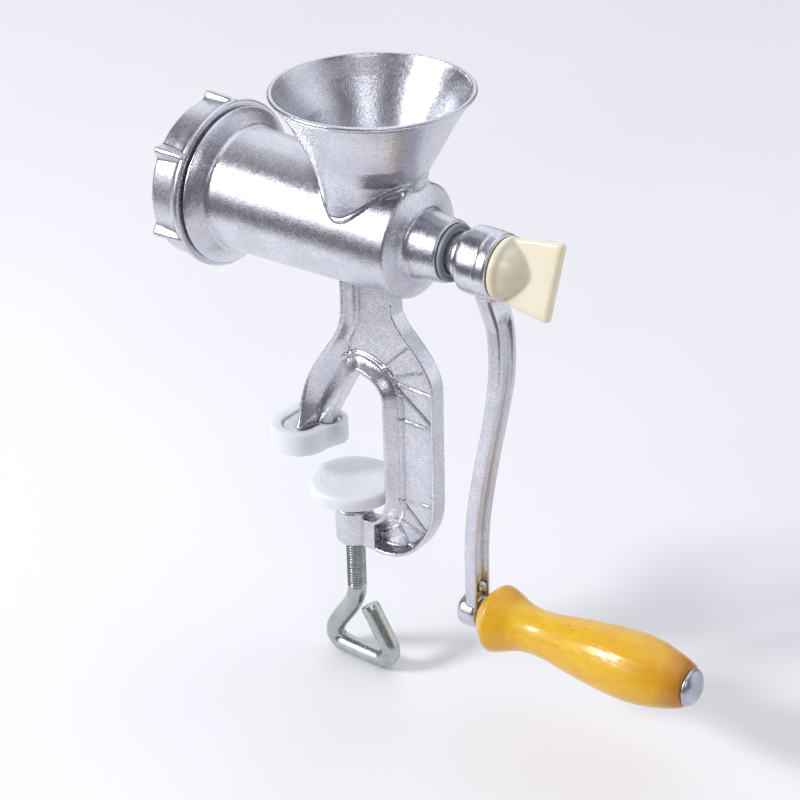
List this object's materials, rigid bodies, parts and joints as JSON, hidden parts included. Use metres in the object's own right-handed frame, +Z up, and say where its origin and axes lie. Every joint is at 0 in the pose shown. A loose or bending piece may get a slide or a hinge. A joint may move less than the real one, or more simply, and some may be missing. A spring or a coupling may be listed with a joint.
{
  "type": "hand-cranked clamp-on mill",
  "caption": "Clamp-on hand-cranked mill: cast body with feed hopper, horizontal auger barrel, hole plate under a ring nut, S-bent crank with wooden grip, and a C-frame table clamp.",
  "frame": {"origin": "on the underside of the upper jaw pad, the face that rests on the table top, in the vertical plane of the barrel's axis", "axes": "+Z up, at right angles to the table top; +X along the barrel's axis from the outlet towards the crank"},
  "size_m": [0.2905, 0.095, 0.3194],
  "materials": {
    "cast_aluminium": "tumbled casting, bright",
    "steel": "bright steel",
    "zinc_steel": "zinc-plated rod",
    "wood": "glossy yellow lacquer",
    "white_plastic": "milky soft plastic",
    "cream_plastic": "glossy moulding",
    "grey_plastic": "moulded bush"
  },
  "bodies": {
    "frame": {"body_casting": "cast_aluminium", "jaw_pad": "white_plastic", "bearing_bush": "grey_plastic", "thrust_washer": "white_plastic", "plate_key_pin": "steel"},
    "rotor": {"auger": "cast_aluminium", "knife_stud": "steel", "cross_knife": "steel", "crank_arm": "cast_aluminium", "handle_axle": "steel", "grip_washer": "steel"},
    "grip": {"handle_grip": "wood"},
    "screw_washer": {"thumb_washer": "steel"},
    "thumb_screw": {"thumb_knob": "cream_plastic", "thumb_stud": "steel"},
    "plate": {"hole_plate": "steel"},
    "ring": {"ring_nut": "cast_aluminium"},
    "clamp_foot": {"clamp_pad": "white_plastic", "swivel_disc": "zinc_steel"},
    "clamp_bar": {"clamp_screw": "zinc_steel"}
  },
  "joints": [
    {"name": "crank_turn", "type": "hinge", "parent": "frame", "child": "rotor", "pos_m": [0.026, 0, 0.1273], "axis": [1, 0, 0], "continuous": true},
    {"name": "grip_spin", "type": "hinge", "parent": "rotor", "child": "grip", "pos_m": [0.0998, 0, -0.0638], "axis": [0.9984, 0, 0.0558], "continuous": true},
    {"name": "washer_slide", "type": "slide", "parent": "rotor", "child": "screw_washer", "axis": [1, 0, 0], "range_m": [0, 0.0101]},
    {"name": "thumb_screw_turn", "type": "hinge", "parent": "screw_washer", "child": "thumb_screw", "pos_m": [0.116, 0, 0.1273], "axis": [1, 0, 0], "range_deg": [0, 2880]},
    {"name": "plate_slide", "type": "slide", "parent": "frame", "child": "plate", "axis": [-1, 0, 0], "range_m": [0, 0.0121]},
    {"name": "ring_nut_turn", "type": "hinge", "parent": "plate", "child": "ring", "pos_m": [-0.051, 0, 0.1273], "axis": [-1, 0, 0], "range_deg": [0, 1440]},
    {"name": "clamp_feed", "type": "slide", "parent": "frame", "child": "clamp_foot", "axis": [0, 0, 1], "range_m": [-0.0021, 0.0131]},
    {"name": "clamp_turn", "type": "hinge", "parent": "clamp_foot", "child": "clamp_bar", "pos_m": [0.026, 0, -0.04], "axis": [0, 0, 1], "range_deg": [-480, 3120]}
  ],
  "couplings": [
    {"joint": "washer_slide", "follows": "thumb_screw_turn", "m_per_rad": 0.00019894},
    {"joint": "plate_slide", "follows": "ring_nut_turn", "m_per_rad": 0.00047746},
    {"joint": "clamp_feed", "follows": "clamp_turn", "m_per_rad": 0.00023873}
  ]
}
